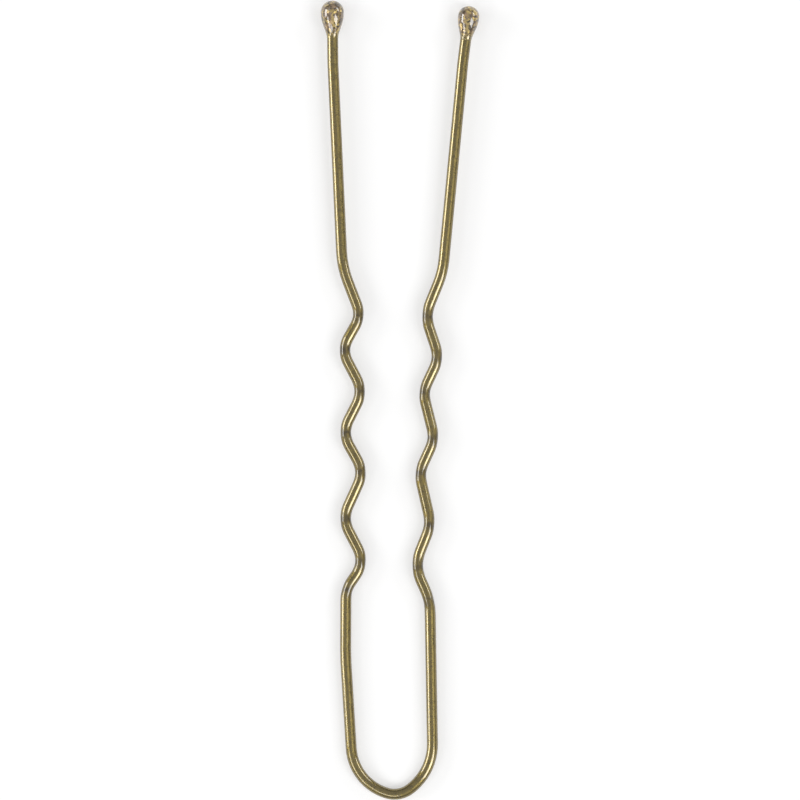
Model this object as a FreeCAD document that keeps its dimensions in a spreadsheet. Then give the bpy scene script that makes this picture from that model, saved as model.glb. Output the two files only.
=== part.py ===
import FreeCAD
import Part
import Sketcher
import math
import os
from FreeCAD import Placement, Rotation, Vector

# A crimped wire hairpin: one round wire bent to a U, with a resin drop on each end.
# The wire is cut square at two flex points, where its legs spring against the bow.
# It is drawn with the bow at the bottom. Heights run up from the outside of the bow's crown,
# and x runs right from the middle of the two drops. It then lies down on its drops and its crown.

# Lengths in millimetres, leans in degrees. Every lean is measured from the pin's long axis.
SIZES = {
    "overall_length": 65.0,
    "overall_width": 12.9,
    "wire_diameter": 0.9,
    # the bow, from flex point to flex point
    "hinge_height": 12.2,
    "bow_gap": 6.03,
    "bow_shift": 0.96,
    "waist_radius": 16.0,
    "waist_lean": 3.5,
    "left_haunch_height": 4.2,
    "right_haunch_height": 4.6,
    "crown_offset": 0.5,
    "crown_round_share": 0.61,
    # the legs, from flex point to drop
    "left_run_length": 4.1,
    "left_run_lean": 0.3,
    "left_crimp_length": 28.33,
    "left_crimp_depth": 1.33,
    "left_upper_lean": 2.62,
    "left_end_length": 4.23,
    "left_end_lean": 0.7,
    "right_run_length": 3.0,
    "right_run_lean": 1.0,
    "right_crimp_length": 28.74,
    "right_crimp_depth": 1.195,
    "right_upper_lean": 5.47,
    "right_end_length": 3.72,
    "right_end_lean": 7.2,
    "crimp_round_share": 0.88,
    "knee_round_share": 0.95,
    "shoulder_round_share": 0.82,
    "end_bend_radius": 12.0,
    # the resin drops
    "left_tip_radius": 0.945,
    "left_tip_length": 3.08,
    "right_tip_radius": 0.87,
    "right_tip_length": 2.8,
    "right_tip_setback": 0.44,
    "tip_round_share": 0.915,
    "tip_belly_share": 0.69,
    "tip_lip": 0.03,
    "bond_gap": 0.02,
}

# Each leg's crests, inner and outer in turn: how far up the crimped stretch each one stands,
# and how far in from the straight line between that stretch's ends.
RISE_SHARES = {
    "left": (0.113, 0.234, 0.363, 0.48, 0.597, 0.715, 0.821),
    "right": (0.136, 0.26, 0.387, 0.502, 0.616, 0.728, 0.838),
}
DEPTH_SHARES = {
    "left": (0.924, 0.053, 0.986, 0.125, 1.0, 0.141, 0.982),
    "right": (0.973, 0.309, 1.0, 0.293, 0.952, 0.231, 0.96),
}

SIDES = ("left", "right")
INWARD = {"left": 1, "right": -1}
SETBACK = {"left": "0", "right": "Sizes.right_tip_setback"}
UP = Vector(0, 0, 1)
# how far a sweep may be from its section times its length
WIRE_SHARE = 0.001


def fill_sheet(doc):
    """Puts every size and share in a named cell."""
    cells = dict(SIZES)
    for side in SIDES:
        for number, share in enumerate(RISE_SHARES[side], 1):
            cells[f"{side}_rise_{number}_share"] = share
        for number, share in enumerate(DEPTH_SHARES[side], 1):
            cells[f"{side}_depth_{number}_share"] = share
    sheet = doc.addObject("Spreadsheet::Sheet", "Sizes")
    for row, (name, value) in enumerate(cells.items(), 1):
        sheet.set(f"A{row}", name)
        sheet.set(f"B{row}", str(value))
        sheet.setAlias(f"B{row}", name)
    doc.recompute()


def add_place(places, name, expression):
    """Adds one place or radius that follows from the sizes."""
    places.addProperty("App::PropertyFloat", name)
    places.setExpression(name, expression)


def add_corner_bend(places, side, name, share, normal, crest):
    """The bend between a straight run and a crest: a share of the largest that fits there.

    It touches the run at the named point, and its centre lies along the run's inward normal.
    """
    across, along = normal
    corner = f"{side}_{name}"
    place_x = f"({corner}_x - {crest}_centre_x)"
    place_y = f"({corner}_y - {crest}_y)"
    reach = f"({across} * {place_x} + {along} * {place_y})"
    room = f"({place_x} ^ 2 + {place_y} ^ 2 - {crest}_radius ^ 2) / (2 * ({crest}_radius - {reach}))"
    add_place(places, f"{corner}_radius", f"{share} * {room}")
    add_place(places, f"{corner}_centre_x", f"{corner}_x + {across} * {corner}_radius")
    add_place(places, f"{corner}_centre_y", f"{corner}_y + {along} * {corner}_radius")


def add_leg_places(places, side):
    """Works out a leg's corners, crests and bend radii."""
    inward = INWARD[side]
    knee, shoulder, end, tip = (f"{side}_{name}" for name in ("knee", "shoulder", "end", "tip"))
    run = f"Sizes.{side}_run_length"
    run_lean = f"Sizes.{side}_run_lean"
    upper_lean = f"Sizes.{side}_upper_lean"
    end_lean = f"Sizes.{side}_end_lean"
    band = f"Sizes.{side}_crimp_length"
    half_bow = "(Sizes.bow_gap + Sizes.wire_diameter) / 2"
    add_place(places, f"{side}_hinge_x", f"-Sizes.bow_shift - {inward} * {half_bow}")
    add_place(places, f"{knee}_x", f"{side}_hinge_x + {inward} * {run} * tan({run_lean})")
    add_place(places, f"{knee}_y", f"Sizes.hinge_height + {run}")
    add_place(places, f"{tip}_x", f"{inward} * (Sizes.{tip}_radius - Sizes.overall_width / 2)")
    add_place(places, f"{tip}_y", f"Sizes.overall_length - {SETBACK[side]} - Sizes.{tip}_radius")
    add_place(places, f"{end}_x", f"{tip}_x + {inward} * Sizes.{end}_length * tan({end_lean})")
    add_place(places, f"{end}_y", f"{tip}_y - Sizes.{end}_length")
    add_place(places, f"{shoulder}_y", f"{knee}_y + {band}")
    upper_run = f"({end}_y - {shoulder}_y)"
    add_place(places, f"{shoulder}_x", f"{end}_x + {inward} * {upper_run} * tan({upper_lean})")

    crests = [f"{side}_crest_{number}" for number in range(1, len(RISE_SHARES[side]) + 1)]
    for number, crest in enumerate(crests, 1):
        rise = f"Sizes.{side}_rise_{number}_share"
        depth = f"Sizes.{side}_depth_{number}_share * Sizes.{side}_crimp_depth"
        add_place(places, f"{crest}_y", f"{knee}_y + {rise} * {band}")
        line = f"{knee}_x + {rise} * ({shoulder}_x - {knee}_x)"
        add_place(places, f"{crest}_x", f"{line} + {inward} * {depth}")

    # two neighbouring bends of this radius would meet with no straight flank left between them
    stations = [knee, *crests, shoulder]
    for number, (low, high) in enumerate(zip(stations, stations[1:])):
        step_x = f"({high}_x - {low}_x)"
        step_y = f"({high}_y - {low}_y)"
        room = f"({step_x} ^ 2 + {step_y} ^ 2) / (4 * abs({step_x}))"
        add_place(places, f"{side}_room_{number}", room)
    for number, crest in enumerate(crests, 1):
        room = f"min({side}_room_{number - 1}; {side}_room_{number})"
        add_place(places, f"{crest}_radius", f"Sizes.crimp_round_share * {room}")
        outward = -inward if number % 2 else inward
        add_place(places, f"{crest}_centre_x", f"{crest}_x + {outward} * {crest}_radius")
        add_place(places, f"{crest}_centre_y", f"{crest}_y")

    run_normal = (f"({inward} * cos({run_lean}))", f"(-sin({run_lean}))")
    upper_normal = (f"({inward} * cos({upper_lean}))", f"sin({upper_lean})")
    add_corner_bend(places, side, "knee", "Sizes.knee_round_share", run_normal, crests[0])
    add_corner_bend(places, side, "shoulder", "Sizes.shoulder_round_share", upper_normal, crests[-1])

    # below its drop the wire turns a little to the right, on either leg
    turn = f"({inward} * ({upper_lean} - {end_lean}))"
    reach = f"({end}_radius * tan({turn} / 2))"
    across, along = f"({inward} * sin({upper_lean}))", f"cos({upper_lean})"
    add_place(places, f"{end}_radius", "Sizes.end_bend_radius")
    add_place(places, f"{end}_centre_x", f"{end}_x + {across} * {reach} + {along} * {end}_radius")
    add_place(places, f"{end}_centre_y", f"{end}_y - {along} * {reach} + {across} * {end}_radius")


def add_bow_places(places):
    """Works out the bow's crown, the gentle bend below its left flex point and its runs' ends."""
    add_place(places, "waist_x", "left_hinge_x + Sizes.waist_radius * cos(Sizes.left_run_lean)")
    add_place(places, "waist_y", "Sizes.hinge_height - Sizes.waist_radius * sin(Sizes.left_run_lean)")
    add_place(places, "waist_end_x", "waist_x - Sizes.waist_radius * cos(Sizes.waist_lean)")
    add_place(places, "waist_end_y", "waist_y - Sizes.waist_radius * sin(Sizes.waist_lean)")
    left_drop = "(waist_end_y - Sizes.left_haunch_height)"
    right_drop = "(Sizes.hinge_height - Sizes.right_haunch_height)"
    add_place(places, "left_haunch_x", f"waist_end_x + {left_drop} * tan(Sizes.waist_lean)")
    add_place(places, "right_haunch_x", f"right_hinge_x + {right_drop} * tan(Sizes.right_run_lean)")
    half_bow = "(Sizes.bow_gap + Sizes.wire_diameter) / 2"
    add_place(places, "crown_radius", f"Sizes.crown_round_share * {half_bow}")
    add_place(places, "crown_x", "Sizes.crown_offset - Sizes.bow_shift")
    add_place(places, "crown_y", "Sizes.wire_diameter / 2 + crown_radius")


def add_tip_places(places, side):
    """Works out a drop's socket, neck and rounded flank."""
    tip = f"{side}_tip"
    add_place(places, f"{tip}_socket_radius", "Sizes.wire_diameter / 2 + Sizes.bond_gap")
    add_place(places, f"{tip}_neck_radius", f"{tip}_socket_radius + Sizes.tip_lip")
    add_place(places, f"{tip}_tail", f"Sizes.{tip}_length - Sizes.{tip}_radius")
    swell = f"(Sizes.{tip}_radius - {tip}_neck_radius)"
    add_place(places, f"{tip}_room", f"({tip}_tail ^ 2 + {swell} ^ 2) / (2 * {swell})")
    rounding = f"Sizes.tip_round_share * {tip}_room"
    add_place(places, f"{tip}_belly_radius", f"{rounding} * Sizes.tip_belly_share")
    add_place(places, f"{tip}_hollow_radius", f"{rounding} * (1 - Sizes.tip_belly_share)")


def add_lying_places(places):
    """Works out how the pin lies: tilted until its crown touches what its left drop touches."""
    wire_radius = "Sizes.wire_diameter / 2"
    swell = f"(Sizes.left_tip_radius - {wire_radius})"
    add_place(places, "lying_sine", f"{swell} / (left_tip_y - {wire_radius})")
    add_place(places, "lying_cosine", "sqrt(1 - lying_sine ^ 2)")
    add_place(places, "lying_tilt", "asin(lying_sine) / 1 deg")
    add_place(places, "lying_y", f"-((left_tip_y + {wire_radius}) * lying_cosine + {swell}) / 2")
    add_place(places, "lying_z", f"{wire_radius} * (1 - lying_sine)")


def work_out_places(doc):
    """Keeps every place that follows from the sizes in one set of named values."""
    places = doc.addObject("App::VarSet", "Places")
    for side in SIDES:
        add_leg_places(places, side)
        add_tip_places(places, side)
    add_bow_places(places)
    add_lying_places(places)
    doc.recompute()
    return places


def new_body(doc, name):
    """A sub-part that lies down with the rest of the pin."""
    body = doc.addObject("PartDesign::Body", name)
    body.Label = name
    body.Placement = Placement(Vector(), Rotation(Vector(1, 0, 0), 1))
    body.setExpression("Placement.Base.y", "Places.lying_y")
    body.setExpression("Placement.Base.z", "Places.lying_z")
    body.setExpression("Placement.Rotation.Angle", "Places.lying_tilt")
    return body


def new_sketch(body, name):
    """A sketch in the plane that the pin is bent in."""
    sketch = body.newObject("Sketcher::SketchObject", name)
    planes = [feature for feature in body.Origin.OriginFeatures if feature.Role == "XY_Plane"]
    sketch.AttachmentSupport = [(planes[0], "")]
    sketch.MapMode = "FlatFace"
    return sketch


def bind(sketch, kind, places, value, expression):
    """Adds one constraint and ties it to an expression."""
    number = sketch.addConstraint(Sketcher.Constraint(kind, *places, value))
    sketch.setExpression(f"Constraints[{number}]", expression)


def pin_point(sketch, geometry, end, point, x, y):
    """Holds a point of the sketch at a place given by two expressions."""
    bind(sketch, "DistanceX", (-1, 1, geometry, end), point.x, x)
    bind(sketch, "DistanceY", (-1, 1, geometry, end), point.y, y)


def add_line(sketch, start, end):
    """Adds a straight run, and returns it with its first and last point's numbers."""
    return sketch.addGeometry(Part.LineSegment(start, end), False), 1, 2


def add_arc(sketch, centre, start, end, leftward):
    """Adds a bend, and returns it with its first and last point's numbers."""
    first, last = (start, end) if leftward else (end, start)
    circle = Part.Circle(centre, UP, (start - centre).Length)
    arc = Part.ArcOfCircle(circle, *(math.atan2(p.y - centre.y, p.x - centre.x) for p in (first, last)))
    geometry = sketch.addGeometry(arc, False)
    return (geometry, 1, 2) if leftward else (geometry, 2, 1)


def join_smoothly(sketch, stretches):
    """Makes each stretch of a path run on from the one before it."""
    for (low, _, low_end), (high, high_start, _) in zip(stretches, stretches[1:]):
        sketch.addConstraint(Sketcher.Constraint("Tangent", low, low_end, high, high_start))


def flank(low, high):
    """Where the straight flank between two bends begins and ends.

    A bend is its centre and its radius, which is below zero for a bend to the right.
    """
    (low_centre, low_radius), (high_centre, high_radius) = low, high
    step = high_centre - low_centre
    heading = math.atan2(step.y, step.x) - math.asin((high_radius - low_radius) / step.Length)
    leftward = Vector(-math.sin(heading), math.cos(heading), 0)
    return low_centre - leftward * low_radius, high_centre - leftward * high_radius


def sweep_wire(doc, body, path):
    """Sweeps the round wire along its path."""
    section = body.newObject("Sketcher::SketchObject", f"{body.Name}_section")
    section.AttachmentSupport = [(path, "Edge1")]
    section.MapMode = "NormalToEdge"
    section.addGeometry(Part.Circle(Vector(), UP, SIZES["wire_diameter"] / 2), False)
    section.addConstraint(Sketcher.Constraint("Coincident", 0, 3, -1, 1))
    bind(section, "Diameter", (0,), SIZES["wire_diameter"], "Sizes.wire_diameter")
    doc.recompute()
    sweep = body.newObject("PartDesign::AdditivePipe", f"{body.Name}_sweep")
    sweep.Profile = section
    sweep.Spine = (path, [f"Edge{number}" for number in range(1, len(path.Shape.Edges) + 1)])
    doc.recompute()


def make_leg(doc, places, side):
    """A leg: straight from its flex point, crimped, then leaning out and on into its drop."""
    def value(name):
        return getattr(places, f"{side}_{name}")

    body = new_body(doc, f"{side}_leg")
    path = new_sketch(body, f"{side}_leg_path")
    inward = INWARD[side]
    crests = [f"crest_{number}" for number in range(1, len(RISE_SHARES[side]) + 1)]
    names = ["knee", *crests, "shoulder", "end"]
    turns = [inward if number % 2 else -inward for number, _ in enumerate(names[:-1])] + [-1]
    hinge = Vector(value("hinge_x"), SIZES["hinge_height"], 0)
    tip = Vector(value("tip_x"), value("tip_y"), 0)
    bends = [(hinge, 0)]
    for name, turn in zip(names, turns):
        centre = Vector(value(f"{name}_centre_x"), value(f"{name}_centre_y"), 0)
        bends.append((centre, turn * value(f"{name}_radius")))
    bends.append((tip, 0))

    flanks = [flank(low, high) for low, high in zip(bends, bends[1:])]
    stretches = [add_line(path, *flanks[0])]
    for (centre, radius), before, after in zip(bends[1:], flanks, flanks[1:]):
        stretches.append(add_arc(path, centre, before[1], after[0], radius > 0))
        stretches.append(add_line(path, *after))
    join_smoothly(path, stretches)

    pin_point(path, stretches[0][0], 1, hinge, f"Places.{side}_hinge_x", "Sizes.hinge_height")
    pin_point(path, stretches[-1][0], 2, tip, f"Places.{side}_tip_x", f"Places.{side}_tip_y")
    for name, (centre, radius), (geometry, _, _) in zip(names, bends[1:], stretches[1::2]):
        bend = f"Places.{side}_{name}"
        pin_point(path, geometry, 3, centre, f"{bend}_centre_x", f"{bend}_centre_y")
        bind(path, "Radius", (geometry,), abs(radius), f"{bend}_radius")
    doc.recompute()
    sweep_wire(doc, body, path)
    return body


def haunch(touch, lean, side, crown, crown_radius):
    """An arc that leaves a run and rolls on into the crown: its centre, and where it meets the crown."""
    normal = Vector(math.cos(lean), math.sin(lean), 0) * INWARD[side]
    gap = touch - crown
    radius = (crown_radius**2 - gap.dot(gap)) / (2 * (gap.dot(normal) + crown_radius))
    centre = touch + normal * radius
    return centre, centre + (crown - centre).normalize() * radius


def make_bow(doc, places):
    """The bow: a gentle bend and a straight run, an arch of three arcs, and a straight run."""
    body = new_body(doc, "bow")
    path = new_sketch(body, "bow_path")
    left_hinge = Vector(places.left_hinge_x, SIZES["hinge_height"], 0)
    right_hinge = Vector(places.right_hinge_x, SIZES["hinge_height"], 0)
    waist = Vector(places.waist_x, places.waist_y, 0)
    waist_end = Vector(places.waist_end_x, places.waist_end_y, 0)
    left_touch = Vector(places.left_haunch_x, SIZES["left_haunch_height"], 0)
    right_touch = Vector(places.right_haunch_x, SIZES["right_haunch_height"], 0)
    crown = Vector(places.crown_x, places.crown_y, 0)
    left_lean = math.radians(SIZES["waist_lean"])
    right_lean = math.radians(SIZES["right_run_lean"])
    left_centre, crown_start = haunch(left_touch, left_lean, "left", crown, places.crown_radius)
    right_centre, crown_end = haunch(right_touch, right_lean, "right", crown, places.crown_radius)

    stretches = [
        add_arc(path, waist, left_hinge, waist_end, True),
        add_line(path, waist_end, left_touch),
        add_arc(path, left_centre, left_touch, crown_start, True),
        add_arc(path, crown, crown_start, crown_end, True),
        add_arc(path, right_centre, crown_end, right_touch, True),
        add_line(path, right_touch, right_hinge),
    ]
    join_smoothly(path, stretches)
    waist_arc, left_run, _, crown_arc, _, right_run = (stretch[0] for stretch in stretches)
    pin_point(path, waist_arc, 1, left_hinge, "Places.left_hinge_x", "Sizes.hinge_height")
    pin_point(path, waist_arc, 3, waist, "Places.waist_x", "Places.waist_y")
    pin_point(path, left_run, 2, left_touch, "Places.left_haunch_x", "Sizes.left_haunch_height")
    pin_point(path, crown_arc, 3, crown, "Places.crown_x", "Places.crown_y")
    bind(path, "Radius", (crown_arc,), places.crown_radius, "Places.crown_radius")
    pin_point(path, right_run, 1, right_touch, "Places.right_haunch_x", "Sizes.right_haunch_height")
    pin_point(path, right_run, 2, right_hinge, "Places.right_hinge_x", "Sizes.hinge_height")
    doc.recompute()
    sweep_wire(doc, body, path)
    return body


def make_tip(doc, places, side):
    """A drop of resin round a blind socket: a dome, a full belly and a flank drawn out along the wire."""
    def value(name):
        return getattr(places, f"{side}_tip_{name}")

    body = new_body(doc, f"{side}_tip")
    outline = new_sketch(body, f"{side}_tip_outline")
    outline.AttachmentOffset = Placement(Vector(), Rotation(UP, 1))
    outline.setExpression("AttachmentOffset.Base.x", f"Places.{side}_tip_x")
    outline.setExpression("AttachmentOffset.Base.y", f"Places.{side}_tip_y")
    lean = f"{INWARD[side]} * Sizes.{side}_end_lean"
    outline.setExpression("AttachmentOffset.Rotation.Angle", lean)

    radius = SIZES[f"{side}_tip_radius"]
    belly = Vector(radius - value("belly_radius"), 0, 0)
    hollow = Vector(value("neck_radius") + value("hollow_radius"), -value("tail"), 0)
    flank_end, flank_start = flank((hollow, -value("hollow_radius")), (belly, value("belly_radius")))
    top = Vector(0, radius, 0)
    side_point = Vector(radius, 0, 0)
    neck = Vector(value("neck_radius"), -value("tail"), 0)
    mouth = Vector(value("socket_radius"), -value("tail"), 0)
    floor_edge = Vector(value("socket_radius"), SIZES["bond_gap"], 0)
    floor_middle = Vector(0, SIZES["bond_gap"], 0)

    skin = [
        add_arc(outline, hollow, neck, flank_end, False),
        add_line(outline, flank_end, flank_start),
        add_arc(outline, belly, flank_start, side_point, True),
        add_arc(outline, Vector(), side_point, top, True),
    ]
    join_smoothly(outline, skin)
    corners = (top, floor_middle, floor_edge, mouth, neck)
    walls = [add_line(outline, start, end) for start, end in zip(corners, corners[1:])]
    loop = [skin[-1], *walls, skin[0]]
    for (low, _, low_end), (high, high_start, _) in zip(loop, loop[1:]):
        outline.addConstraint(Sketcher.Constraint("Coincident", low, low_end, high, high_start))

    hollow_arc, _, belly_arc, dome = (stretch[0] for stretch in skin)
    axis, socket_floor, socket_wall, lip = (stretch[0] for stretch in walls)
    outline.addConstraint(Sketcher.Constraint("Coincident", dome, 3, -1, 1))
    outline.addConstraint(Sketcher.Constraint("PointOnObject", axis, 1, -2))
    outline.addConstraint(Sketcher.Constraint("PointOnObject", axis, 2, -2))
    outline.addConstraint(Sketcher.Constraint("PointOnObject", belly_arc, 3, -1))
    outline.addConstraint(Sketcher.Constraint("Horizontal", socket_floor))
    outline.addConstraint(Sketcher.Constraint("Vertical", socket_wall))
    outline.addConstraint(Sketcher.Constraint("Horizontal", lip))
    outline.addConstraint(Sketcher.Constraint("Horizontal", lip, 2, hollow_arc, 3))
    bind(outline, "Radius", (dome,), radius, f"Sizes.{side}_tip_radius")
    bind(outline, "Radius", (belly_arc,), value("belly_radius"), f"Places.{side}_tip_belly_radius")
    bind(outline, "Radius", (hollow_arc,), value("hollow_radius"), f"Places.{side}_tip_hollow_radius")
    bind(outline, "DistanceY", (lip, 2, -1, 1), value("tail"), f"Places.{side}_tip_tail")
    bind(outline, "DistanceX", (-1, 1, lip, 2), neck.x, f"Places.{side}_tip_neck_radius")
    bind(outline, "DistanceX", (-1, 1, lip, 1), mouth.x, f"Places.{side}_tip_socket_radius")
    bind(outline, "DistanceY", (-1, 1, axis, 2), floor_middle.y, "Sizes.bond_gap")
    doc.recompute()
    turned = body.newObject("PartDesign::Revolution", f"{side}_tip_turned")
    turned.Profile = outline
    turned.ReferenceAxis = (outline, ["V_Axis"])
    turned.Angle = 360
    doc.recompute()
    return body


def check(doc, bodies):
    """Stops the build if anything in it failed."""
    for item in doc.Objects:
        if "Invalid" in item.State or "Error" in item.State:
            raise RuntimeError(f"{item.Name} failed: {item.State}")
    for sketch in doc.findObjects("Sketcher::SketchObject"):
        if not sketch.FullyConstrained:
            raise RuntimeError(f"{sketch.Name} is not fully constrained")
    for body in bodies:
        if body.Shape.isNull() or not body.Shape.isValid() or len(body.Shape.Solids) != 1:
            raise RuntimeError(f"{body.Label} is not one sound solid")


def check_wire(doc, body):
    """Stops the build if a swept wire isn't as large as its section times its length."""
    length = doc.getObject(f"{body.Name}_path").Shape.Length
    section = doc.getObject(f"{body.Name}_section").Shape.Edges[0].Curve.Radius ** 2 * math.pi
    if abs(body.Shape.Volume / (section * length) - 1) > WIRE_SHARE:
        raise RuntimeError(f"{body.Label} lost part of its sweep")
    print(f"{body.Label}: {length:.2f} mm of wire")


def main():
    doc = FreeCAD.newDocument("Hairpin")
    fill_sheet(doc)
    places = work_out_places(doc)
    wires = [make_bow(doc, places), *(make_leg(doc, places, side) for side in SIDES)]
    tips = [make_tip(doc, places, side) for side in SIDES]
    doc.recompute()
    check(doc, wires + tips)
    for body in wires:
        check_wire(doc, body)
    os.makedirs("parts", exist_ok=True)
    for body in wires + tips:
        body.Shape.exportStep(f"parts/{body.Label}.step")


main()
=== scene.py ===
import math

import bmesh
import bpy
from mathutils import Matrix, Vector
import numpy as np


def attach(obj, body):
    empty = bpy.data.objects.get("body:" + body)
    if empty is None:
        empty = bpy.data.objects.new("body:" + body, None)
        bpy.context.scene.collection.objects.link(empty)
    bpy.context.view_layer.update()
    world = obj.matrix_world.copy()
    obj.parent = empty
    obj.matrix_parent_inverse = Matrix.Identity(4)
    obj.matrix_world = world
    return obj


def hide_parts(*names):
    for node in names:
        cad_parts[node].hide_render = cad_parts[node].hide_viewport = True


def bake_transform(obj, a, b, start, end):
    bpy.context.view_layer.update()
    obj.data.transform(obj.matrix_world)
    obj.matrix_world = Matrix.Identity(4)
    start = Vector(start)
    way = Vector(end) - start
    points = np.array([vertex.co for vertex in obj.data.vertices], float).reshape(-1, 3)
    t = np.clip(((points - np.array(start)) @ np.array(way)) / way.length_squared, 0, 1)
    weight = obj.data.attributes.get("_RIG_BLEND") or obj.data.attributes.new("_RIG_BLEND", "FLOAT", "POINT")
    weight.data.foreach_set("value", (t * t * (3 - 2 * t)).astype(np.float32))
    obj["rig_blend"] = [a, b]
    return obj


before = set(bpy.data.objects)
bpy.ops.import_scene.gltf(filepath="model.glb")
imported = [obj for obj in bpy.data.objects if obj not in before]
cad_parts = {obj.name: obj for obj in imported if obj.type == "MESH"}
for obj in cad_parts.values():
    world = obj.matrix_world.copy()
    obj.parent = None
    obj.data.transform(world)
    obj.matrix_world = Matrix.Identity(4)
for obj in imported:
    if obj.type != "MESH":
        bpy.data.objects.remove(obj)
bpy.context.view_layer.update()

# A crimped wire hairpin with a resin drop on each end.
# Lengths are in metres, and leans in degrees from its long axis. It is drawn flat, with the bow at the
# bottom: x runs right, and heights run up from the outside of the crown.
OVERALL_LENGTH = 0.065
OVERALL_WIDTH = 0.0129
WIRE_RADIUS = 0.00045

# the bow
HINGE_HEIGHT = 0.0122
BOW_HALF_WIDTH = 0.003465
BOW_SHIFT = 0.00096
WAIST_RADIUS = 0.016
WAIST_LEAN = 3.5
CROWN_OFFSET = 0.0005
CROWN_ROUND_SHARE = 0.61
HAUNCH_HEIGHT = {"left": 0.0042, "right": 0.0046}

# the legs
INWARD = {"left": 1, "right": -1}
RUN_LENGTH = {"left": 0.0041, "right": 0.003}
RUN_LEAN = {"left": 0.3, "right": 1.0}
UPPER_LEAN = {"left": 2.62, "right": 5.47}
END_LEAN = {"left": 0.7, "right": 7.2}
END_LENGTH = {"left": 0.00423, "right": 0.00372}
END_BEND_RADIUS = 0.012
CRIMP_LENGTH = {"left": 0.02833, "right": 0.02874}
CRIMP_DEPTH = {"left": 0.00133, "right": 0.001195}
CRIMP_ROUND_SHARE = 0.88
KNEE_ROUND_SHARE = 0.95
SHOULDER_ROUND_SHARE = 0.82
# how far up the crimped stretch each crest stands, and how far in from the line between its ends
RISE_SHARES = {
    "left": (0.113, 0.234, 0.363, 0.48, 0.597, 0.715, 0.821),
    "right": (0.136, 0.26, 0.387, 0.502, 0.616, 0.728, 0.838),
}
DEPTH_SHARES = {
    "left": (0.924, 0.053, 0.986, 0.125, 1.0, 0.141, 0.982),
    "right": (0.973, 0.309, 1.0, 0.293, 0.952, 0.231, 0.96),
}

# the die that crimps the wire presses each crest a little flat in the plane of the pin
# the same crest marks are also darkened with painted shade in the gilt face
MARK_HALF_LENGTH = 0.0005
MARK_FLAT_SHARE = 0.05
MARK_BULGE_SHARE = 0.025
CRIMP_RADIUS_LIMIT = 0.006

# the resin drops
DROP_RADIUS = {"left": 0.000945, "right": 0.00087}
DROP_LENGTH = {"left": 0.00308, "right": 0.0028}
DROP_SETBACK = {"left": 0.0, "right": 0.00044}
DROP_NECK_RADIUS = 0.000462
DROP_ROUND_SHARE = 0.915
DROP_BELLY_SHARE = 0.69
# the neck's last stretch, where the resin thins out over the gilt wire
FEATHER_LENGTH = 0.0009
# the bonded socket reaches this far into the wire's skin
BOND_DEPTH = 0.000008

# how finely the pieces are made
WIRE_SIDES = 40
RUN_STEP = 0.0003
BEND_STEP = math.radians(5)
DROP_SIDES = 72
END_ROUNDING = 0.00006
END_ROUNDING_STEPS = 3
MERGE_DISTANCE = 1e-8
NEAR_NOTHING = 1e-9

# the leg pieces begin below the flex points, and take up their spring between these heights
SEAM_HEIGHT = 0.006
FLEX_START_HEIGHT = 0.0064
FLEX_END_HEIGHT = 0.018

# the photograph's frame
FRAME_WIDTH = 0.06506
FRAME_RISE = 0.000024
LENS = 400

# mottling, in the wire and in the drops: soft steps between two shades of a noise
PATCH_DETAIL = 3.0
PATCH_STEP = (0.35, 0.65)
FLECK_DETAIL = 1.0
FLECK_STEP = (0.54, 0.68)

# the gilt face of the wire, with its patterns scaled per wire radius across and per metre along
GILT_DARK = (0.2, 0.15, 0.038, 1)
GILT_LIGHT = (0.29, 0.222, 0.062, 1)
GILT_FLECK = (0.145, 0.106, 0.032, 1)
# the crests' dark colour is painted shade, where the highlights break on the bends
GILT_CREST_SHADE = (0.07, 0.051, 0.02, 1)
GILT_EDGE_TINT = (0.25, 0.2, 0.12, 1)
GILT_ROUGHNESS = (0.26, 0.36)
GILT_MOTTLE_SCALE = (1.0, 1.0, 2200.0)
GILT_PATCHES = 0.9
GILT_FLECKS = 4.5
LINE_SCALE = (14.0, 14.0, 350.0)
LINE_DETAIL = 4.0
LINE_STEP = (0.36, 0.64)
LINE_STRENGTH = 0.09
LINE_DEPTH = 0.00002
# how strongly the painted shade at the crests shows across the mottle's patches
CREST_SHADE_SHARES = (0.35, 1.0)
CREST_MARK_ROUGHNESS = 0.3
LACQUER_IOR = 1.8
LACQUER_ROUGHNESS = 0.06

# the flaked resin of the drops, with its patterns scaled per metre
RESIN_DARK = (0.055, 0.037, 0.015, 1)
RESIN_LIGHT = (0.32, 0.212, 0.118, 1)
RESIN_FLECK = (0.05, 0.034, 0.015, 1)
RESIN_PATCHES = 1700.0
RESIN_FLECKS = 4600.0
RESIN_ROUGHNESS = 0.3
RESIN_GLOSS = 0.3
RESIN_COAT_IOR = 1.9
RESIN_COAT_ROUGHNESS = 0.02
FLAKE_GOLD = (0.62, 0.46, 0.16, 1)
FLAKE_SCALE = 4300.0
FLAKE_STEP = (0.45, 0.9)
FLAKE_METAL_SHARE = 0.7
FLAKE_TILT = 0.8
FLAKE_MIDDLE_SHADE = 0.5
SWIRL_SCALE = 2400.0
SWIRL_DETAIL = 1.0
SWIRL_REACH = 0.0003

# the studio
WHITE = (1, 1, 1, 1)
FLOOR_HALF_WIDTH = 1.5
FLOOR_COLOUR = (0.55, 0.55, 0.55, 1)
FLOOR_ROUGHNESS = 0.9
FLOOR_GLOSS = 0.1
FLOOR_LIFT = 0.45
DOME_STRENGTHS = (0.17, 0.5)
# each softbox: its azimuth and elevation in degrees, its distance, its width and height, and its radiance
SOFTBOXES = {
    "left_softbox": (171, 22, 0.8, 0.47, 0.29, 6.2),
    "front_softbox": (213, 38, 0.8, 0.45, 0.2, 4.4),
    "crown_softbox": (258, 50, 0.8, 0.416, 0.14, 4.0),
    "right_softbox": (-27, 45, 1.2, 0.43, 0.74, 5.3),
    "far_softbox": (29, 26, 0.8, 0.47, 0.19, 4.8),
}


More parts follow.
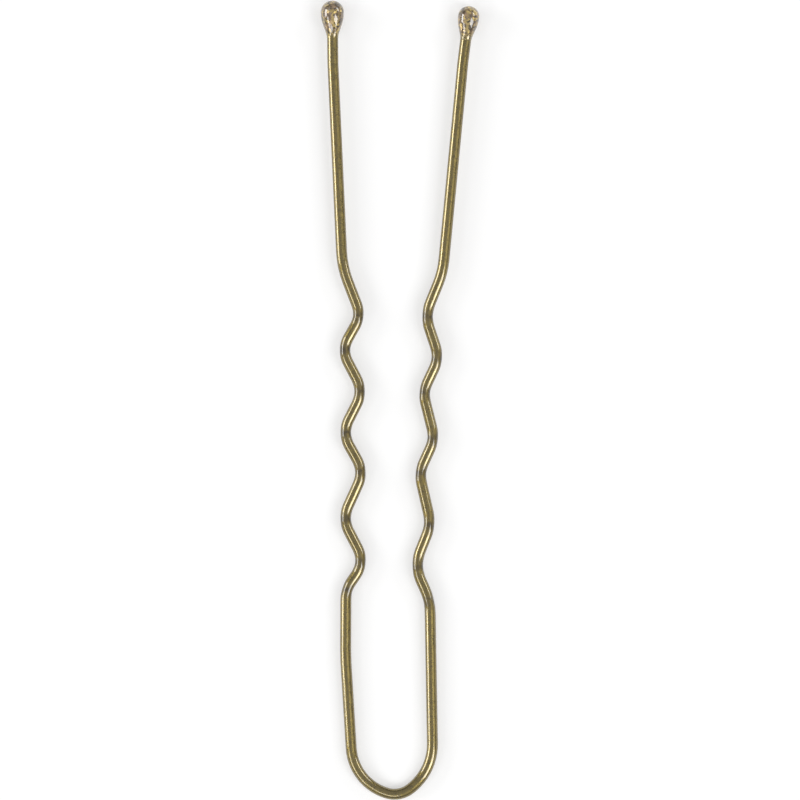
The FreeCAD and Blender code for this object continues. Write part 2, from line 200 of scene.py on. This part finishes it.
def flat(x, y):
    """A point or step in the plane that the pin is bent in."""
    return Vector((x, y, 0))


def leaning(degrees):
    """The sine, cosine and tangent of a lean."""
    angle = math.radians(degrees)
    return math.sin(angle), math.cos(angle), math.tan(angle)


def hinge_point(side):
    return flat(-BOW_SHIFT - INWARD[side] * BOW_HALF_WIDTH, HINGE_HEIGHT)


def drop_centre(side):
    radius = DROP_RADIUS[side]
    return flat(INWARD[side] * (radius - OVERALL_WIDTH / 2), OVERALL_LENGTH - DROP_SETBACK[side] - radius)


def flank(low, high):
    """The straight flank that touches two bends: its first and last point.

    A bend is its centre and its radius, which is below zero for a bend to the right. An end has no radius.
    """
    (low_centre, low_radius), (high_centre, high_radius) = low, high
    step = high_centre - low_centre
    slant = max(-1, min(1, (high_radius - low_radius) / step.length))
    heading = math.atan2(step.y, step.x) - math.asin(slant)
    leftward = flat(-math.sin(heading), math.cos(heading))
    return low_centre - leftward * low_radius, high_centre - leftward * high_radius


def end_bend(point, normal, crest, share):
    """The bend between a straight run and a crest: a share of the largest that fits there."""
    crest_centre, crest_radius = crest[0], abs(crest[1])
    gap = point - crest_centre
    room = (gap.length_squared - crest_radius**2) / (2 * (crest_radius - normal.dot(gap)))
    return point + normal * (share * room), share * room


def leg_bends(side):
    """A leg's bends, from the knee above its flex point up to the slight turn below its drop."""
    inward = INWARD[side]
    run_sine, run_cosine, run_slope = leaning(RUN_LEAN[side])
    upper_sine, upper_cosine, upper_slope = leaning(UPPER_LEAN[side])
    knee = hinge_point(side) + flat(inward * run_slope, 1) * RUN_LENGTH[side]
    end = drop_centre(side) + flat(inward * leaning(END_LEAN[side])[2], -1) * END_LENGTH[side]
    upper_length = end.y - knee.y - CRIMP_LENGTH[side]
    shoulder = end + flat(inward * upper_slope, -1) * upper_length
    crests = [
        knee.lerp(shoulder, rise) + flat(inward * depth * CRIMP_DEPTH[side], 0)
        for rise, depth in zip(RISE_SHARES[side], DEPTH_SHARES[side])
    ]
    stations = [knee, *crests, shoulder]
    steps = [high - low for low, high in zip(stations, stations[1:])]
    rooms = [step.length_squared / (4 * abs(step.x)) for step in steps]
    bends = []
    for number, crest in enumerate(crests):
        radius = CRIMP_ROUND_SHARE * min(rooms[number : number + 2])
        turn = -inward if number % 2 else inward
        bends.append((crest - flat(turn * radius, 0), turn * radius))
    run_normal = flat(inward * run_cosine, -run_sine)
    upper_normal = flat(inward * upper_cosine, upper_sine)
    knee_centre, knee_radius = end_bend(knee, run_normal, bends[0], KNEE_ROUND_SHARE)
    shoulder_centre, shoulder_radius = end_bend(shoulder, upper_normal, bends[-1], SHOULDER_ROUND_SHARE)
    # just below its drop the wire turns to the right, on either leg
    reach = END_BEND_RADIUS * leaning(inward * (UPPER_LEAN[side] - END_LEAN[side]) / 2)[2]
    end_centre = end + flat(inward * upper_sine, -upper_cosine) * reach
    end_centre += flat(upper_cosine, inward * upper_sine) * END_BEND_RADIUS
    return [
        (knee_centre, -inward * knee_radius), *bends, (shoulder_centre, -inward * shoulder_radius),
        (end_centre, -END_BEND_RADIUS),
    ]


def waist_bend():
    """The gentle bend below the left flex point."""
    sine, cosine, _ = leaning(RUN_LEAN["left"])
    return hinge_point("left") + flat(cosine, -sine) * WAIST_RADIUS, -WAIST_RADIUS


def lower_run(side):
    """Where the lower run leaves the bow's arch, and the way it goes up from there."""
    if side == "left":
        sine, cosine, slope = leaning(WAIST_LEAN)
        top = waist_bend()[0] - flat(cosine, sine) * WAIST_RADIUS
    else:
        slope = leaning(RUN_LEAN["right"])[2]
        top = hinge_point("right")
    drop = top.y - HAUNCH_HEIGHT[side]
    return top + flat(slope, -1) * drop, flat(-slope, 1)


def seam_point(side):
    """Where the bow's piece and the leg's piece meet on the lower run."""
    touch, upward = lower_run(side)
    return touch + upward * (SEAM_HEIGHT - touch.y)


def bow_bends():
    """The bow's arch: a haunch, the crown and a haunch."""
    crown_radius = CROWN_ROUND_SHARE * BOW_HALF_WIDTH
    crown = flat(CROWN_OFFSET - BOW_SHIFT, WIRE_RADIUS + crown_radius)
    haunches = []
    for side in ("left", "right"):
        touch, upward = lower_run(side)
        normal = flat(upward.y, -upward.x).normalized() * INWARD[side]
        gap = touch - crown
        radius = (crown_radius**2 - gap.length_squared) / (2 * (gap.dot(normal) + crown_radius))
        haunches.append((touch + normal * radius, radius))
    return [haunches[0], (crown, crown_radius), haunches[1]]


def turned_round(bends):
    """The same bends, walked the other way."""
    return [(centre, -radius) for centre, radius in reversed(bends)]


def lying_down():
    """Lays the drawn pin on its crown and its left drop, with its middle over the origin."""
    swell = DROP_RADIUS["left"] - WIRE_RADIUS
    sine = swell / (drop_centre("left").y - WIRE_RADIUS)
    cosine = math.sqrt(1 - sine**2)
    middle = ((drop_centre("left").y + WIRE_RADIUS) * cosine + swell) / 2
    raised = Vector((0, -middle, WIRE_RADIUS * (1 - sine)))
    return Matrix.Translation(raised) @ Matrix.Rotation(math.asin(sine), 4, "X")


def of_kind(geometry, kind):
    return [item for item in geometry if isinstance(item, kind)]


def grow(mesh, front, bends, on_step=None):
    """Draws a front of points and edges along the runs and round the bends of a path.

    Each step is handed on with the length that it adds, how far it is past the middle of its run or bend,
    and the bend's radius. The last front is returned.
    """
    flanks = [flank(low, high) for low, high in zip(bends, bends[1:])]

    def advance(front, steps, length, radius, **motion):
        for step in range(1, steps + 1):
            front = bmesh.ops.spin(mesh, geom=front, steps=1, axis=(0, 0, 1), **motion)["geom_last"]
            if on_step:
                on_step(front, length / steps, (step / steps - 0.5) * length, radius)
        return front

    for number, (start, end) in enumerate(flanks):
        run = end - start
        if run.length > NEAR_NOTHING:
            steps = math.ceil(run.length / RUN_STEP)
            front = advance(front, steps, run.length, math.inf, cent=start, dvec=run / steps, angle=0)
        if number + 1 == len(flanks):
            return front
        centre, radius = bends[number + 1]
        first, last = end - centre, flanks[number + 1][0] - centre
        angle = math.copysign(first.to_2d().angle(last.to_2d()), radius)
        if abs(angle * radius) > NEAR_NOTHING:
            steps = math.ceil(abs(angle) / BEND_STEP)
            length = abs(angle * radius)
            front = advance(front, steps, length, abs(radius), cent=centre, angle=angle / steps)
    return front


def draw_wire(bends, along, crimped):
    """A round wire along a path, with its grain: the way each point faces and how far along the wire it is.

    A second layer says where the die has pressed the crests, which also carry painted shade, if it is
    crimped.
    """
    mesh = bmesh.new()
    grain = mesh.verts.layers.float_vector.new("wire_grain")
    # this layer carries both the crests' press and their painted shade
    mark = mesh.verts.layers.float.new("crest_press_and_shade")
    start, end = flank(bends[0], bends[1])
    heading = (end - start).normalized()
    leftward = flat(-heading.y, heading.x)
    section = Matrix((leftward, (0, 0, 1), heading)).transposed().to_4x4()
    section.translation = start
    bmesh.ops.create_circle(mesh, cap_ends=True, segments=WIRE_SIDES, radius=WIRE_RADIUS, matrix=section)
    for point in mesh.verts:
        out = (point.co - start) / WIRE_RADIUS
        point[grain] = (out.dot(leftward), out.z, along)
    reached = along

    def note_place(front, length, past_middle, radius):
        nonlocal reached
        reached += length
        struck = crimped and radius < CRIMP_RADIUS_LIMIT
        pressed_and_shaded = math.exp(-((past_middle / MARK_HALF_LENGTH) ** 2)) if struck else 0
        for point in of_kind(front, bmesh.types.BMVert):
            point[grain].z = reached
            point[mark] = pressed_and_shaded

    front = grow(mesh, [*mesh.verts, *mesh.edges], bends, note_place)
    bmesh.ops.edgeloop_fill(mesh, edges=of_kind(front, bmesh.types.BMEdge))
    bmesh.ops.recalc_face_normals(mesh, faces=mesh.faces)
    return mesh, reached


def press_crests(mesh):
    """Presses the marked crests flat in the plane of the pin, so that they bulge out of it."""
    mark = mesh.verts.layers.float["crest_press_and_shade"]
    mesh.normal_update()
    for point in mesh.verts:
        inward = flat(point.normal.x, point.normal.y) * -MARK_FLAT_SHARE
        outward = Vector((0, 0, point.normal.z * MARK_BULGE_SHARE))
        point.co += (inward + outward) * (point[mark] * WIRE_RADIUS)


def is_flat_end(face):
    """The flat ends of a wire are the only faces with more than four corners."""
    return len(face.verts) > 4


def round_end(mesh, centre):
    """Rounds the wire's cut end inside its drop."""
    flat_ends = filter(is_flat_end, mesh.faces)
    cap = min(flat_ends, key=lambda face: (face.calc_center_median() - centre).length)
    bmesh.ops.bevel(
        mesh, geom=list(cap.edges), offset=END_ROUNDING, segments=END_ROUNDING_STEPS,
        profile=0.5, affect="EDGES", material=-1,
    )


def smooth_sides(mesh):
    """Smooths the skin, and keeps flat ends crisp."""
    for face in mesh.faces:
        face.smooth = not is_flat_end(face)
    for edge in mesh.edges:
        edge.smooth = all(face.smooth for face in edge.link_faces)


def lathe_drop(side):
    """A drop of resin round the wire's end: a dome, a full belly and a flank drawn out along the wire.

    Its layers say which way each point faces round the wire, and how far it is up the feathered neck.
    """
    radius = DROP_RADIUS[side]
    tail = DROP_LENGTH[side] - radius
    swell = radius - DROP_NECK_RADIUS
    room = DROP_ROUND_SHARE * (tail**2 + swell**2) / (2 * swell)
    belly_radius = DROP_BELLY_SHARE * room
    hollow_radius = room - belly_radius
    socket_radius = WIRE_RADIUS - BOND_DEPTH
    neck = flat(DROP_NECK_RADIUS, -tail)
    outline = [
        (neck, 0),
        (flat(DROP_NECK_RADIUS + hollow_radius, -tail), -hollow_radius),
        (flat(radius - belly_radius, 0), belly_radius),
        (flat(0, 0), radius),
        (flat(0, radius), 0),
    ]
    mesh = bmesh.new()
    corners = (flat(0, -BOND_DEPTH), flat(socket_radius, -BOND_DEPTH), flat(socket_radius, -tail), neck)
    points = [mesh.verts.new(corner) for corner in corners]
    for low, high in zip(points, points[1:]):
        mesh.edges.new((low, high))
    grow(mesh, [points[-1]], outline)
    bmesh.ops.spin(
        mesh, geom=[*mesh.verts, *mesh.edges], cent=(0, 0, 0), axis=(0, 1, 0),
        angle=math.tau, steps=DROP_SIDES, use_merge=True,
    )
    bmesh.ops.remove_doubles(mesh, verts=mesh.verts, dist=MERGE_DISTANCE)
    bmesh.ops.recalc_face_normals(mesh, faces=mesh.faces)
    grain = mesh.verts.layers.float_vector.new("wire_grain")
    thick = mesh.verts.layers.float.new("resin_depth")
    for point in mesh.verts:
        out = Vector((point.co.x, point.co.z)).normalized()
        point[grain] = (out.x, out.y, point.co.y)
        point[thick] = (point.co.y + tail) / FEATHER_LENGTH
    place = Matrix.Translation(drop_centre(side))
    lean = Matrix.Rotation(math.radians(INWARD[side] * END_LEAN[side]), 4, "Z")
    bmesh.ops.transform(mesh, matrix=place @ lean, verts=mesh.verts)
    return mesh


def add_piece(name, mesh, material):
    """Lays a drawn piece down and adds it to the scene."""
    bmesh.ops.transform(mesh, matrix=lying_down(), verts=mesh.verts)
    data = bpy.data.meshes.new(name)
    mesh.to_mesh(data)
    mesh.free()
    data.materials.append(material)
    piece = bpy.data.objects.new(name, data)
    bpy.context.scene.collection.objects.link(piece)
    return piece


def new_material(name):
    material = bpy.data.materials.new(name)
    material.use_nodes = True
    return material, material.node_tree, material.node_tree.nodes["Principled BSDF"]


def feed(tree, socket, value):
    """Sets a socket to a value, or links another node's output to it."""
    if isinstance(value, bpy.types.NodeSocket):
        tree.links.new(value, socket)
    else:
        socket.default_value = value


def feed_all(tree, node, inputs):
    """Feeds a node's inputs, given by their names or numbers."""
    for name, value in inputs.items():
        feed(tree, node.inputs[name], value)


def put(tree, kind, inputs=(), **settings):
    """Adds a node with its settings and its inputs."""
    made = tree.nodes.new(kind)
    for name, value in settings.items():
        setattr(made, name, value)
    feed_all(tree, made, dict(inputs))
    return made


def new_group(name, inputs, outputs):
    """A node group with named sockets, each given as its name and its kind."""
    group = bpy.data.node_groups.new(name, "ShaderNodeTree")
    for in_out, sockets in (("INPUT", inputs), ("OUTPUT", outputs)):
        for socket_name, kind in sockets:
            group.interface.new_socket(socket_name, in_out=in_out, socket_type=f"NodeSocket{kind}")
    return group, group.nodes.new("NodeGroupInput").outputs, group.nodes.new("NodeGroupOutput").inputs


def ramp(tree, value, low, high):
    """A smooth step from 0 to 1 between two values."""
    inputs = {"Value": value, "From Min": low, "From Max": high}
    return put(tree, "ShaderNodeMapRange", inputs, interpolation_type="SMOOTHSTEP").outputs["Result"]


def between(tree, share, low, high):
    """A value that goes from low to high as a share goes from 0 to 1."""
    inputs = {"Value": share, "To Min": low, "To Max": high}
    return put(tree, "ShaderNodeMapRange", inputs).outputs["Result"]


def reckon(tree, operation, *values):
    """One step of arithmetic on numbers."""
    return put(tree, "ShaderNodeMath", enumerate(values), operation=operation).outputs["Value"]


def reckon_vector(tree, operation, *values):
    """One step of arithmetic on vectors."""
    return put(tree, "ShaderNodeVectorMath", enumerate(values), operation=operation).outputs["Vector"]


def alike(value):
    """A vector whose three parts are the same."""
    return (value, value, value)


def noise(tree, place, scale, detail):
    """A noise, as its value and its colour."""
    return put(tree, "ShaderNodeTexNoise", {"Vector": place, "Scale": scale, "Detail": detail}).outputs


def layer(tree, name, kind):
    """What a mesh layer of the piece says at each point."""
    return put(tree, "ShaderNodeAttribute", attribute_name=name).outputs[kind]


def scaled(tree, place, scale):
    return put(tree, "ShaderNodeMapping", {"Vector": place, "Scale": scale}).outputs["Vector"]


def place_group(tree, name, inputs):
    """Places a node group, and gives its outputs."""
    return put(tree, "ShaderNodeGroup", inputs, node_tree=bpy.data.node_groups[name]).outputs


def mix_colours(tree, share, first, second):
    node = put(tree, "ShaderNodeMix", data_type="RGBA")
    factor, low, high = (socket for socket in node.inputs if socket.enabled)
    feed(tree, factor, share)
    feed(tree, low, first)
    feed(tree, high, second)
    return next(socket for socket in node.outputs if socket.enabled)


def build_mottle():
    """A node group: cloudy patches, and small flecks among them."""
    sockets = (("Place", "Vector"), ("Patches", "Float"), ("Flecks", "Float"))
    group, given, out = new_group("mottle", sockets, (("Patch", "Float"), ("Fleck", "Float")))
    patch = noise(group, given["Place"], given["Patches"], PATCH_DETAIL)["Fac"]
    fleck = noise(group, given["Place"], given["Flecks"], FLECK_DETAIL)["Fac"]
    feed(group, out["Patch"], ramp(group, patch, *PATCH_STEP))
    feed(group, out["Fleck"], ramp(group, fleck, *FLECK_STEP))


def build_gilt_face():
    """A node group: the gilt face of drawn wire, with lines along it, dull patches, flecks, and die marks at
    the crests, which are rougher and darkened with painted shade where the highlights break.
    """
    given_sockets = (("Grain", "Vector"), ("Pressed and Shaded", "Float"))
    made_sockets = (("Color", "Color"), ("Roughness", "Float"), ("Height", "Float"))
    group, given, out = new_group("gilt_face", given_sockets, made_sockets)
    grain, pressed_and_shaded = given["Grain"], given["Pressed and Shaded"]
    lines = noise(group, scaled(group, grain, LINE_SCALE), 1.0, LINE_DETAIL)["Fac"]
    spread = scaled(group, grain, GILT_MOTTLE_SCALE)
    mottle = place_group(group, "mottle", {"Place": spread, "Patches": GILT_PATCHES, "Flecks": GILT_FLECKS})

    face = mix_colours(group, ramp(group, lines, *LINE_STEP), GILT_DARK, GILT_LIGHT)
    flecked = mix_colours(group, mottle["Fleck"], face, GILT_FLECK)
    # the crests are darkened with painted shade, where the highlights break on the bends
    crest_shade = reckon(group, "MULTIPLY", pressed_and_shaded, between(group, mottle["Patch"], *CREST_SHADE_SHARES))
    feed(group, out["Color"], mix_colours(group, crest_shade, flecked, GILT_CREST_SHADE))
    dull = between(group, mottle["Patch"], *GILT_ROUGHNESS)
    feed(group, out["Roughness"], reckon(group, "MULTIPLY_ADD", pressed_and_shaded, CREST_MARK_ROUGHNESS, dull))
    feed(group, out["Height"], lines)


def gilt_lacquer():
    """Gold lacquer on drawn wire."""
    material, tree, shader = new_material("gilt_lacquer")
    marks = {"Grain": layer(tree, "wire_grain", "Vector"), "Pressed and Shaded": layer(tree, "crest_press_and_shade", "Fac")}
    gilt = place_group(tree, "gilt_face", marks)
    raised = {"Strength": LINE_STRENGTH, "Distance": LINE_DEPTH, "Height": gilt["Height"]}
    bump = put(tree, "ShaderNodeBump", raised)
    feed_all(tree, shader, {
        "Base Color": gilt["Color"],
        "Roughness": gilt["Roughness"],
        "Normal": bump.outputs["Normal"],
        "Metallic": 1.0,
        "Specular Tint": GILT_EDGE_TINT,
        "Coat Weight": 1.0,
        "Coat IOR": LACQUER_IOR,
        "Coat Roughness": LACQUER_ROUGHNESS,
    })
    return material


def flaked_resin():
    """Glossy resin full of gold flakes, each of its own shade and tilt, that thins out over the gilt wire."""
    material, tree, shader = new_material("flaked_resin")
    place = put(tree, "ShaderNodeTexCoord").outputs["Object"]
    mottle = place_group(tree, "mottle", {"Place": place, "Patches": RESIN_PATCHES, "Flecks": RESIN_FLECKS})
    swirl = noise(tree, place, SWIRL_SCALE, SWIRL_DETAIL)["Color"]
    stirred = reckon_vector(tree, "MULTIPLY_ADD", swirl, alike(SWIRL_REACH), place)
    flakes = put(tree, "ShaderNodeTexVoronoi", {"Vector": stirred, "Scale": FLAKE_SCALE}).outputs["Color"]
    shade = put(tree, "ShaderNodeSeparateColor", {"Color": flakes}).outputs["Green"]
    golden = ramp(tree, shade, *FLAKE_STEP)
    body = mix_colours(tree, mottle["Patch"], RESIN_DARK, RESIN_LIGHT)
    flaked = mix_colours(tree, golden, body, FLAKE_GOLD)
    speckled = mix_colours(tree, mottle["Fleck"], flaked, RESIN_FLECK)

    # up the neck, the gilt wire gives way to the resin
    deep = ramp(tree, layer(tree, "resin_depth", "Fac"), 0.0, 1.0)
    gilt = place_group(tree, "gilt_face", {"Grain": layer(tree, "wire_grain", "Vector"), "Pressed and Shaded": 0.0})
    flash = reckon(tree, "MULTIPLY", golden, FLAKE_METAL_SHARE)
    tilt = reckon_vector(tree, "SUBTRACT", flakes, alike(FLAKE_MIDDLE_SHADE))
    lean = put(tree, "ShaderNodeVectorMath", {0: tilt, "Scale": deep}, operation="SCALE").outputs["Vector"]
    skin = put(tree, "ShaderNodeNewGeometry").outputs["Normal"]
    tilted = reckon_vector(tree, "MULTIPLY_ADD", lean, alike(FLAKE_TILT), skin)
    feed_all(tree, shader, {
        "Base Color": mix_colours(tree, deep, gilt["Color"], speckled),
        "Metallic": between(tree, deep, 1.0, flash),
        "Roughness": between(tree, deep, gilt["Roughness"], RESIN_ROUGHNESS),
        "Normal": reckon_vector(tree, "NORMALIZE", tilted),
        "Specular IOR Level": RESIN_GLOSS,
        "Coat Weight": 1.0,
        "Coat IOR": RESIN_COAT_IOR,
        "Coat Roughness": RESIN_COAT_ROUGHNESS,
    })
    return material


def make_wire(gilt):
    """The bow and the two legs that spring against it, drawn from the left end to the right."""
    ends = {"left_leg": drop_centre("left"), "right_leg": drop_centre("right")}
    left_seam, right_seam = (seam_point("left"), 0), (seam_point("right"), 0)
    left_bends = turned_round([waist_bend(), *leg_bends("left")])
    paths = {
        "left_leg": [(ends["left_leg"], 0), *left_bends, left_seam],
        "bow": [left_seam, *bow_bends(), right_seam],
        "right_leg": [right_seam, *leg_bends("right"), (ends["right_leg"], 0)],
    }
    along = 0
    pieces = {}
    for node, bends in paths.items():
        is_leg = node in ends
        mesh, along = draw_wire(bends, along, crimped=is_leg)
        press_crests(mesh)
        if is_leg:
            round_end(mesh, ends[node])
        smooth_sides(mesh)
        pieces[node] = add_piece(f"{node}_wire", mesh, gilt)
        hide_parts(node)
    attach(pieces["bow"], "bow")
    lay = lying_down()
    for side in ("left", "right"):
        foot = hinge_point(side)
        start = lay @ flat(foot.x, FLEX_START_HEIGHT)
        end = lay @ flat(foot.x, FLEX_END_HEIGHT)
        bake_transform(pieces[f"{side}_leg"], "bow", f"{side}_leg", start=start, end=end)


def make_drop(side, resin):
    mesh = lathe_drop(side)
    smooth_sides(mesh)
    drop = add_piece(f"{side}_drop", mesh, resin)
    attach(drop, f"{side}_leg")
    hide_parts(f"{side}_tip")


def make_pin():
    """The whole pin, with its two finishes."""
    build_mottle()
    build_gilt_face()
    gilt, resin = gilt_lacquer(), flaked_resin()
    make_wire(gilt)
    for side in ("left", "right"):
        make_drop(side, resin)


def pale_floor():
    """A pale floor's finish. The camera, gloss and glass see it lifted to white, and the shadow stays."""
    material, tree, shader = new_material("pale_floor")
    rays = put(tree, "ShaderNodeLightPath").outputs
    mirrored = reckon(tree, "MAXIMUM", rays["Is Glossy Ray"], rays["Is Transmission Ray"])
    seen = reckon(tree, "MAXIMUM", rays["Is Camera Ray"], mirrored)
    feed_all(tree, shader, {
        "Base Color": FLOOR_COLOUR,
        "Roughness": FLOOR_ROUGHNESS,
        "Specular IOR Level": FLOOR_GLOSS,
        "Emission Color": WHITE,
        "Emission Strength": reckon(tree, "MULTIPLY", seen, FLOOR_LIFT),
    })
    return material


def make_floor():
    mesh = bmesh.new()
    bmesh.ops.create_grid(mesh, x_segments=1, y_segments=1, size=FLOOR_HALF_WIDTH)
    data = bpy.data.meshes.new("floor")
    mesh.to_mesh(data)
    mesh.free()
    data.materials.append(pale_floor())
    floor = bpy.data.objects.new("floor", data)
    bpy.context.scene.collection.objects.link(floor)


def add_softbox(name, azimuth, elevation, distance, width, height, radiance):
    """A soft lamp that faces the pin's middle. Azimuth runs from +X towards +Y."""
    turn, rise = math.radians(azimuth), math.radians(elevation)
    lamp = bpy.data.lights.new(name, "AREA")
    lamp.shape = "RECTANGLE"
    lamp.size = width
    lamp.size_y = height
    lamp.energy = radiance * math.pi * width * height
    softbox = bpy.data.objects.new(name, lamp)
    toward = Vector((math.cos(turn) * math.cos(rise), math.sin(turn) * math.cos(rise), math.sin(rise)))
    softbox.location = toward * distance
    softbox.rotation_euler = toward.to_track_quat("Z", "Y").to_euler()
    softbox.visible_camera = False
    bpy.context.scene.collection.objects.link(softbox)


def light_studio():
    """Softboxes round the pin, and a dim dome that brightens overhead."""
    for name, stand in SOFTBOXES.items():
        add_softbox(name, *stand)
    world = bpy.data.worlds.new("studio")
    world.use_nodes = True
    tree = world.node_tree
    direction = put(tree, "ShaderNodeTexCoord").outputs["Generated"]
    upward = put(tree, "ShaderNodeSeparateXYZ", {"Vector": direction}).outputs["Z"]
    dome = {"Color": WHITE, "Strength": between(tree, upward, *DOME_STRENGTHS)}
    feed_all(tree, tree.nodes["Background"], dome)
    bpy.context.scene.world = world


def place_camera():
    """Looks straight down on the lying pin, as the photograph does."""
    camera = bpy.data.cameras.new("photo_camera")
    camera.lens = LENS
    eye = bpy.data.objects.new("photo_camera", camera)
    middle = lying_down() @ flat(0, OVERALL_LENGTH / 2)
    eye.location = (0, FRAME_RISE, middle.z + FRAME_WIDTH / camera.sensor_width * LENS)
    bpy.context.scene.collection.objects.link(eye)
    bpy.context.scene.camera = eye


make_pin()
make_floor()
light_studio()
place_camera()
bpy.context.scene.view_settings.view_transform = "Standard"
